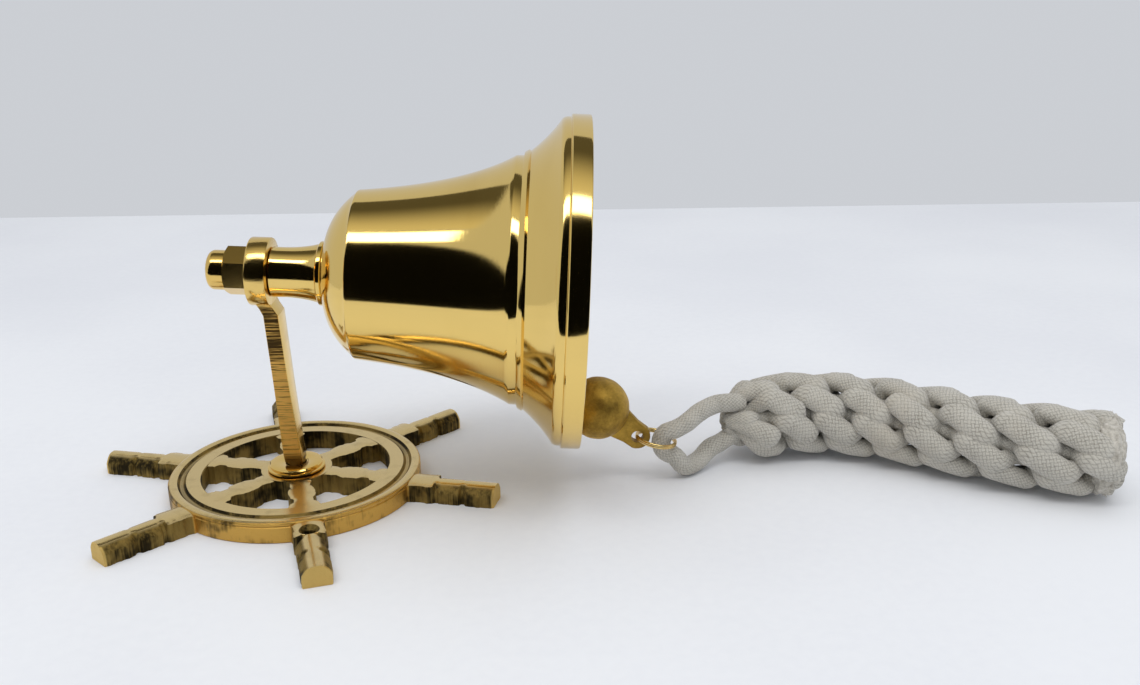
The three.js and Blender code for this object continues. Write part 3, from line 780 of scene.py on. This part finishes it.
def makeCapNut():
    c = capNut
    shoulder = c["face"] - c["hexLength"]
    corner = c["acrossFlats"] / 2 / math.cos(math.radians(30))
    hexagon = disc(corner, c["hexLength"], "X", 6, ((shoulder + c["face"]) / 2, 0, 0))
    low = min(v.co.z for v in hexagon.verts)
    if abs(abs(low) - corner) > 0.01:  # a corner points up and down
        turnShape(hexagon, 30, "X")
    chamfer = 0.85
    flat = c["acrossFlats"] / 2
    cone = turned([(shoulder, 0), (shoulder, flat), (shoulder + chamfer * 0.7, corner + 0.05),
                   (c["face"] - chamfer * 0.5, corner + 0.05), (c["face"], flat + 0.1), (c["face"], 0)], 72)
    body = combined(hexagon, [cone], "INTERSECT")
    tip = shoulder - c["domeLength"]
    dome = turned([(shoulder + 1, 0), (shoulder + 1, c["domeRadius"]),
                   *curveThrough((tip + 2.4, c["domeRadius"]), (tip, c["domeRadius"]), (tip, 2.4), 10),
                   (tip, 0)], 72)
    way = setting["boltWay"]
    bore = turned([(tip + 2.2, 0), (tip + 2.2, way), (c["face"] + 1, way), (c["face"] + 1, 0)], 48)
    whole = combined(combined(body, [dome]), [bore], "DIFFERENCE")
    finishPiece(whole, "cap_nut_turning", "mounting", nutBrass, ["cap_nut"],
                axisPlace, 25)


arm = {"eyeFront": -1.6, "eyeBack": -7.8, "eyeRadius": 10.3, "tenonRadius": 3.0, "tenonBottom": 3.3,
       "footThickness": 5.6, "topThickness": 4.5, "footWidth": 6.4, "topWidth": 9.0, "lean": 2.4}


def makeArm():
    # a bar sawn to its side outline and its front outline, with the eye joined on top
    a = arm
    collarTop = setting["collarTop"]
    height = setting["axisHeight"]
    middle = (a["eyeFront"] + a["eyeBack"]) / 2
    eyeX = onAxis(middle).x
    eyeZ = onAxis(middle).z
    barTop = eyeZ - a["eyeRadius"] - 2.5
    thick = a["eyeFront"] - a["eyeBack"]
    underNeck = height - neck["radius"] - 1.5
    foot = collarTop + 3
    halfWay = (foot + barTop) / 2
    side = [(-a["tenonRadius"] + 0.2, collarTop + 0.3), (-a["footThickness"] * 0.55, foot),
            (-a["lean"] / 2 - a["topThickness"] * 0.57, halfWay),
            (-a["lean"] - a["topThickness"] / 2, barTop), (eyeX - thick * 0.45, underNeck + 3),
            (eyeX - thick * 0.45, eyeZ), (eyeX + thick * 0.4, eyeZ), (eyeX + thick * 0.4, underNeck),
            (-a["lean"] + a["topThickness"] / 2, barTop),
            (-a["lean"] / 2 + a["topThickness"] * 0.5, halfWay),
            (a["footThickness"] * 0.45, foot), (a["tenonRadius"] - 0.2, collarTop + 0.3)]
    sawn = outlined(side, -a["eyeRadius"], a["eyeRadius"])
    turnShape(sawn, 90, "X")
    front = [(0, a["tenonRadius"] - 0.2), (collarTop, a["tenonRadius"] - 0.2),
             (foot + 1, a["footWidth"] / 2), (height - a["eyeRadius"], a["topWidth"] / 2),
             (height - a["eyeRadius"] * 0.6, a["topWidth"] * 0.7), (height, a["topWidth"] * 0.7)]
    faced = outlined([(y, z) for z, y in front] + [(-y, z) for z, y in reversed(front)], -20, 20)
    upright = Matrix.Rotation(math.pi / 2, 4, "Z") @ Matrix.Rotation(math.pi / 2, 4, "X")
    bmesh.ops.transform(faced, matrix=upright, verts=faced.verts)
    bar = soften(combined(sawn, [faced], "INTERSECT"), 0.35, 25)
    tenonTop = collarTop + 1
    tenonMiddle = (tenonTop + a["tenonBottom"]) / 2
    tenon = disc(a["tenonRadius"], tenonTop - a["tenonBottom"], "Z", 48, (0, 0, tenonMiddle))
    back, face, wide = a["eyeBack"], a["eyeFront"], a["eyeRadius"]
    edge, corner = 0.5, 0.15
    eye = turned([(back, 0), (back, wide - edge), (back + corner, wide - corner), (back + edge, wide),
                  (face - edge, wide), (face - corner, wide - corner), (face, wide - edge),
                  (face, 0)], 96)
    way = setting["boltWay"]
    bore = turned([(-12, 0), (-12, way), (3, way), (3, 0)], 48)
    for shape in (eye, bore):
        bmesh.ops.transform(shape, matrix=axisPlace, verts=shape.verts)
    screw = setting["screwWay"]
    screwHole = turned([(0, 0), (0, screw), (14, screw), (14, 0)], 32)
    turnShape(screwHole, -90, "Y")
    whole = combined(combined(bar, [eye, tenon]), [bore, screwHole], "DIFFERENCE")
    finishPiece(whole, "arm_and_eye", "mounting", filedArm, ["bracket_arm"], sharp=28)


makeNeck()
makeCapNut()
makeArm()

print("wheel")
wheel = {
    "rim": 39.0, "rimHeight": 6.8, "window": 29.1, "flat": 6.4, "hub": 11.0, "spokes": 6, "handleEnd": 66.0,
    "handleHeight": 6.2, "root": 4.6, "grip": 4.1, "notch": 0.9, "firstNotch": 47.1, "secondNotch": 55.5,
    "coveIn": 33.6, "coveOut": 36.2, "screwAt": 44, "screwHole": 1.9, "screwHead": 3.6,
    "roughness": 0.22,
}
collar = {"low": 6.7, "radius": 8.9}


def rimRing():
    w = wheel
    top, flat, side, window = w["rimHeight"], w["flat"], w["rim"], w["window"]
    inner, outer = w["coveIn"], w["coveOut"]
    profile = [
        (0, window + 0.3), (0, side - 0.3), (0.3, side), (top - 1.9, side), (top - 1.7, side - 0.25),
        (top - 1.5, side - 0.3), (top - 1.3, side - 0.05), (top - 0.8, side), (top - 0.45, side - 0.2),
        *curveThrough((top - 0.2, side - 0.6), (top + 0.12, side - 1.5), (top - 0.35, outer), 8),
        *curveThrough((flat - 0.35, outer - 0.25), (flat - 1.6, (inner + outer) / 2),
                      (flat - 0.3, inner + 0.25), 10),
        (flat, inner), (flat, inner - 0.5), (flat, window + 0.25), (flat - 0.25, window),
        (0.3, window), (0, window + 0.3),
    ]
    shape = turned(profile, 168)
    turnShape(shape, -90, "Y")
    return shape


def halfAt(stops, along):
    # half width between the stops, [along, half width]
    for (a, low), (b, high) in zip(stops, stops[1:]):
        if a <= along <= b:
            return low + (high - low) * (along - a) / max(b - a, 1e-6)
    return stops[-1][1]


def castBar(stops, height, crowned, steps, across, seed):
    # a flat-backed bar along X: a grid shaped to the outline and crown, then pulled down to the back
    start = stops[0][0]
    end = stops[-1][0]
    shape = bmesh.new()
    bmesh.ops.create_grid(shape, x_segments=steps, y_segments=across, size=1)
    for vert in shape.verts:
        along = start + (vert.co.x + 1) / 2 * (end - start)
        share = vert.co.y
        half = halfAt(stops, along)
        rough = wheel["roughness"] * (noise.noise(Vector((along * 0.55, share * 0.8, seed))) * 1.6
                                      + noise.noise(Vector((along * 1.6, share * 1.5, seed + 9))) * 0.8)
        edge = abs(share) ** 3
        drop = crowned(along) * abs(share) ** 2.6
        vert.co = (along, share * (half + rough * edge), height * (1 - drop) - abs(rough) * edge * 0.5)
    rim = [e for e in shape.edges if e.is_boundary]
    for level in (0.55, 0.30, 0.0):
        pulled = bmesh.ops.extrude_edge_only(shape, edges=rim)["geom"]
        verts = [g for g in pulled if isinstance(g, bmesh.types.BMVert)]
        for vert in verts:
            vert.co.z = min(vert.co.z, height * level)
            if level:
                vert.co.y *= 1.02 + 0.03 * noise.noise(vert.co * 0.7 + Vector((0, 0, seed)))
            else:
                vert.co.y *= 0.985
        rim = [g for g in pulled if isinstance(g, bmesh.types.BMEdge) and g.is_boundary]
    bmesh.ops.holes_fill(shape, edges=rim, sides=0)
    bmesh.ops.recalc_face_normals(shape, faces=shape.faces)
    return shape


def spokeBar(seed):
    w = wheel
    hub = w["hub"]
    span = w["window"] - hub
    stops = [(hub - 3, 3.8), (hub, 3.2), (hub + span * 0.2, 2.9), (hub + span * 0.3, 3.8),
             (hub + span * 0.46, 4.0), (hub + span * 0.62, 3.7), (hub + span * 0.67, 2.8),
             (hub + span * 0.8, 2.9), (hub + span * 0.85, 4.3), (w["window"] + 1.8, 5.2)]
    return castBar(stops, w["flat"] - 0.06, lambda along: 0.03, 46, 10, seed)


def handleBar(seed):
    w = wheel
    first, second, end = w["firstNotch"], w["secondNotch"], w["handleEnd"]
    root, grip, notch = w["root"], w["grip"], w["notch"]
    stops = [(w["rim"] - 2.4, root + 0.6), (w["rim"] + 2, root - 0.4), (first - 0.6, root),
             (first, root - notch), (first + 0.9, root - notch), (first + 1.5, grip + 0.2),
             (second - 0.5, grip), (second, grip - notch), (second + 0.9, grip - notch),
             (second + 1.5, grip + 0.05), (end - 0.8, grip), (end, grip - 0.35)]

    def crown(along):
        return 0.10 if along < first else 0.42

    return castBar(stops, w["handleHeight"], crown, 64, 12, seed)


def makeWheel():
    w = wheel
    hub = disc(w["hub"], w["flat"] - 0.04, "Z", 96, (0, 0, w["flat"] / 2 - 0.02))
    bars = [hub]
    cuts = []
    for i in range(w["spokes"]):
        turn = Matrix.Rotation(setting["wheelTurn"] + fullTurn * i / w["spokes"], 4, "Z")
        for bar in (spokeBar(i * 3 + 2), handleBar(i * 5 + 2)):
            # no two backs are quite level, so the pieces join cleanly
            lifted = turn @ Matrix.Translation((0, 0, 0.012 + 0.003 * len(bars)))
            bmesh.ops.transform(bar, matrix=lifted, verts=bar.verts)
            bars.append(bar)
        if i % 3 == 2:
            # a countersunk hole for a wall screw, in two opposite handles
            top, shank, head = w["handleHeight"], w["screwHole"], w["screwHead"]
            hole = turned([(-1, 0), (-1, shank), (top - 1.4, shank), (top + 0.6, head),
                           (top + 1, head), (top + 1, 0)], 32)
            turnShape(hole, -90, "Y")
            place = turn @ Matrix.Translation((w["screwAt"], 0, 0))
            bmesh.ops.transform(hole, matrix=place, verts=hole.verts)
            cuts.append(hole)
    seat, screw = setting["tenonWay"], setting["screwWay"]
    pocket = turned([(-1, 0), (-1, seat), (0, seat), (1.6, screw), (3, screw), (3, seat), (8, seat),
                     (8, 0)], 48)
    turnShape(pocket, -90, "Y")
    whole = combined(combined(rimRing(), bars), [pocket, *cuts], "DIFFERENCE")
    finishPiece(whole, "wheel_casting", "mounting", castWheel, ["wheel_plate"], sharp=35)


def makeCollar():
    low, wide, bore = collar["low"], collar["radius"], setting["tenonWay"]
    profile = [(low, bore), (low, wide - 0.2), (low + 0.15, wide), (low + 0.6, wide),
               (low + 0.75, wide - 0.4), (low + 0.85, wide - 0.75), (low + 1.5, wide - 0.7),
               (low + 1.85, wide - 1), (low + 2, wide - 1.5), (low + 2, bore + 0.7),
               (low + 1.6, bore), (low, bore)]
    shape = turned(profile, 96)
    turnShape(shape, -90, "Y")
    finishPiece(shape, "hub_collar_turning", "mounting", nutBrass, ["hub_collar"],
                sharp=30)


makeWheel()
makeCollar()

print("clapper, link and ring")
clapper = {"pivot": 40.5, "reach": 70.39, "ball": 9.8, "rod": 2.2, "tail": 15.5, "tailRadius": 4.2,
           "thickness": 3.0, "eye": 4.6, "eyeHole": 2.7, "tailHole": 1.9, "eyeThickness": 3.2}
link = {"start": 30.1, "radius": 5.2, "wire": 0.8}
splitRing = {"radius": 6.2, "wire": 0.5, "turns": 1.97, "rise": 1.02, "cutAt": 2.2, "steps": 72}


def restAngle():
    # the ball meets the lip's inner edge, with the clearance left there
    mouth = bell["seat"] + bell["length"] - clapper["pivot"]
    inner = bell["lipRadius"] - bell["mouthWall"]
    edge = math.hypot(mouth, inner)
    touch = clapper["ball"] + 0.3
    swing = math.acos((clapper["reach"] ** 2 + edge ** 2 - touch ** 2) / (2 * clapper["reach"] * edge))
    return math.atan2(inner, mouth) - swing


def makeClapper():
    c = clapper
    reach, ball = c["reach"], c["ball"]
    ballArc = [(reach + ball * math.cos(a), ball * math.sin(a))
               for a in [math.radians(165 - 5 * k) for k in range(34)]]
    body = turned([(c["eye"] - 1, 0), (c["eye"] - 1, c["rod"] * 0.85),
                   (reach - ball - 0.6, c["rod"] * 1.15), *ballArc], 72)
    eye = soften(disc(c["eye"], c["eyeThickness"], "Y", 48), 0.5)
    tailPlace = reach + c["tail"]
    tongue = [(reach + ball * 0.5, ball * 0.72), (reach + ball * 0.9, c["tailRadius"] * 1.2),
              (tailPlace - c["tailRadius"] * 0.6, c["tailRadius"] * 0.98)]
    around = [(tailPlace + c["tailRadius"] * math.cos(a), c["tailRadius"] * math.sin(a))
              for a in [math.radians(75 - 15 * k) for k in range(11)]]
    outline = tongue + around + [(x, -y) for x, y in reversed(tongue)]
    tail = soften(outlined(outline, -c["thickness"] / 2, c["thickness"] / 2), 0.55)
    turnShape(tail, 90, "X")
    holes = [disc(c["eyeHole"], 20, "Y", 40), disc(c["tailHole"], 20, "Y", 36, (tailPlace, 0, 0))]
    whole = combined(combined(body, [eye, tail]), holes, "DIFFERENCE")
    for vert in whole.verts:
        vert.co += vert.normal * 0.10 * noise.noise(vert.co * 0.45)
    place = axisPlace @ Matrix.Translation((c["pivot"], 0, 0)) @ Matrix.Rotation(restAngle(), 4, "Y")
    finishPiece(whole, "clapper_casting", "clapper", castClapper, ["clapper"], place, 35)
    return place @ Vector((tailPlace, 0, 0))


def makeSplitRing(tailPoint):
    # wound like a key ring, its cut ends lying on the turns
    r = splitRing
    shape = bmesh.new()
    count = int(r["steps"] * r["turns"])
    centres, outs = [], []
    for k in range(count + 1):
        angle = fullTurn * r["turns"] * k / count
        lift = r["rise"] * (k / count - 0.5)
        centres.append(Vector((r["radius"] * math.cos(angle), r["radius"] * math.sin(angle), lift)))
        outs.append(Vector((math.cos(angle), math.sin(angle), 0)))
    sizes = [r["wire"]] * (count + 1)
    sweep(shape, centres, outs, sizes, sizes, 12)
    slope = Matrix.Rotation(setting["ringSlope"], 4, "Y")
    centre = tailPoint + slope @ Vector((r["radius"], 0, 0))
    place = Matrix.Translation(centre) @ (slope @ Matrix.Rotation(r["cutAt"], 4, "Z"))
    finishPiece(shape, "split_ring_wire", "ring", brightWire, ["split_ring"], place, 50)


def makeLink():
    shape = bmesh.new()
    circle = bmesh.ops.create_circle(shape, segments=14, radius=link["wire"])["verts"]
    turnShape(shape, 90, "X")
    bmesh.ops.translate(shape, vec=(link["radius"], 0, 0), verts=circle)
    bmesh.ops.spin(shape, geom=circle + list(shape.edges), cent=(0, 0, 0), axis=(0, 0, 1), angle=fullTurn,
                   steps=72, use_merge=True)
    bmesh.ops.remove_doubles(shape, verts=shape.verts, dist=1e-4)
    place = axisPlace @ Matrix.Translation((link["start"] + link["radius"], 0, 0))
    finishPiece(shape, "link_wire", "link", brightWire, ["clapper_link"], place, 50)


tailPoint = makeClapper()
makeLink()
makeSplitRing(tailPoint)

for name, finish in (("foot_screw", brightWire), ("hanger_bolt", innerBrass), ("crown_washer", innerBrass),
                     ("lock_nut", innerBrass)):
    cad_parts[name].data.materials.clear()
    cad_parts[name].data.materials.append(finish.material)

print("floor and lights")
studio = {
    "floorLow": (-0.50, -0.45), "floorHigh": (0.80, 0.437),
    "world": (0.60, 0.62, 0.655), "worldStrength": 1.0,
    "darkLeft": -0.42, "darkRight": 0.75, "darkFloor": -0.215, "darkTop": (-0.62, 1.05),
    "dimLow": (-0.7, -0.28), "dimHigh": (0.9, 0.80), "dimHeight": 1.12,
}


def plainFinish(name, tint, glow=0.0):
    finish = Finish(name, Roughness=0.8, Specular_IOR_Level=0.0)
    finish.set("Base Color", colour(*tint))
    finish.set("Emission Color", colour(*tint))
    finish.set("Emission Strength", glow)
    return finish


def card(name, corners, finish, reflectedOnly=True):
    shape = bmesh.new()
    shape.faces.new([shape.verts.new(corner) for corner in corners])
    mesh = bpy.data.meshes.new(name)
    shape.to_mesh(mesh)
    shape.free()
    mesh.materials.append(finish.material)
    made = bpy.data.objects.new(name, mesh)
    bpy.context.scene.collection.objects.link(made)
    if reflectedOnly:
        made.visible_camera = False
        made.visible_diffuse = False
        made.visible_shadow = False
        made.visible_transmission = False
    return made


def floorFinish():
    paper = Finish("white_paper", Roughness=0.75)
    clouds = paper.noise(paper.place, 6, 3)
    specks = paper.noise(paper.place, 300, 2)
    shade = (clouds * 0.8 + specks * 0.2).ramp(0.3, 0.7)
    paper.set("Base Color", paper.blend(shade, colour(0.78, 0.79, 0.82), colour(0.84, 0.85, 0.87)))
    return paper


def makeStudio():
    (x0, y0), (x1, y1) = studio["floorLow"], studio["floorHigh"]
    card("floor", [(x0, y0, 0), (x1, y0, 0), (x1, y1, 0), (x0, y1, 0)], floorFinish(), False)
    left, right = studio["darkLeft"], studio["darkRight"]
    topY, topZ = studio["darkTop"]
    black = plainFinish("black_card", (0.004, 0.004, 0.003))
    card("dark_front", [(left, studio["darkFloor"], 0.002), (right, studio["darkFloor"], 0.002),
                        (right, topY, topZ), (left, topY, topZ)], black)
    dim = plainFinish("dim_ceiling", (0, 0, 0), 1.0)
    _, back, _ = dim.split(dim.place)
    fade = back.ramp(-0.28, 0.42)
    dim.set("Emission Color", dim.blend(fade, colour(0.70, 0.68, 0.58), colour(0.10, 0.095, 0.075)))
    (x0, y0), (x1, y1) = studio["dimLow"], studio["dimHigh"]
    level = studio["dimHeight"]
    card("dim_top", [(x0, y0, level), (x1, y0, level), (x1, y1, level), (x0, y1, level)], dim)
    world = bpy.data.worlds.new("studio")
    world.use_nodes = True
    background = world.node_tree.nodes["Background"]
    background.inputs["Color"].default_value = colour(*studio["world"])
    background.inputs["Strength"].default_value = studio["worldStrength"]
    bpy.context.scene.world = world
    bpy.context.scene.view_settings.view_transform = "Standard"


def softLight(name, place, aim, size, power, reflected=True):
    data = bpy.data.lights.new(name, "AREA")
    data.shape = "RECTANGLE"
    data.size, data.size_y = size
    data.energy = power
    lamp = bpy.data.objects.new(name, data)
    lamp.location = place
    lamp.rotation_euler = (Vector(aim) - Vector(place)).to_track_quat("-Z", "Y").to_euler()
    lamp.visible_glossy = reflected
    bpy.context.scene.collection.objects.link(lamp)


makeStudio()
softLight("strip", (0.05, -0.44, 1.06), (0.05, 0, 0.05), (1.3, 0.24), 4.5)
softLight("overhead", (0.1, 0.15, 1.10), (0.1, 0.05, 0), (1.2, 0.9), 2.4, False)
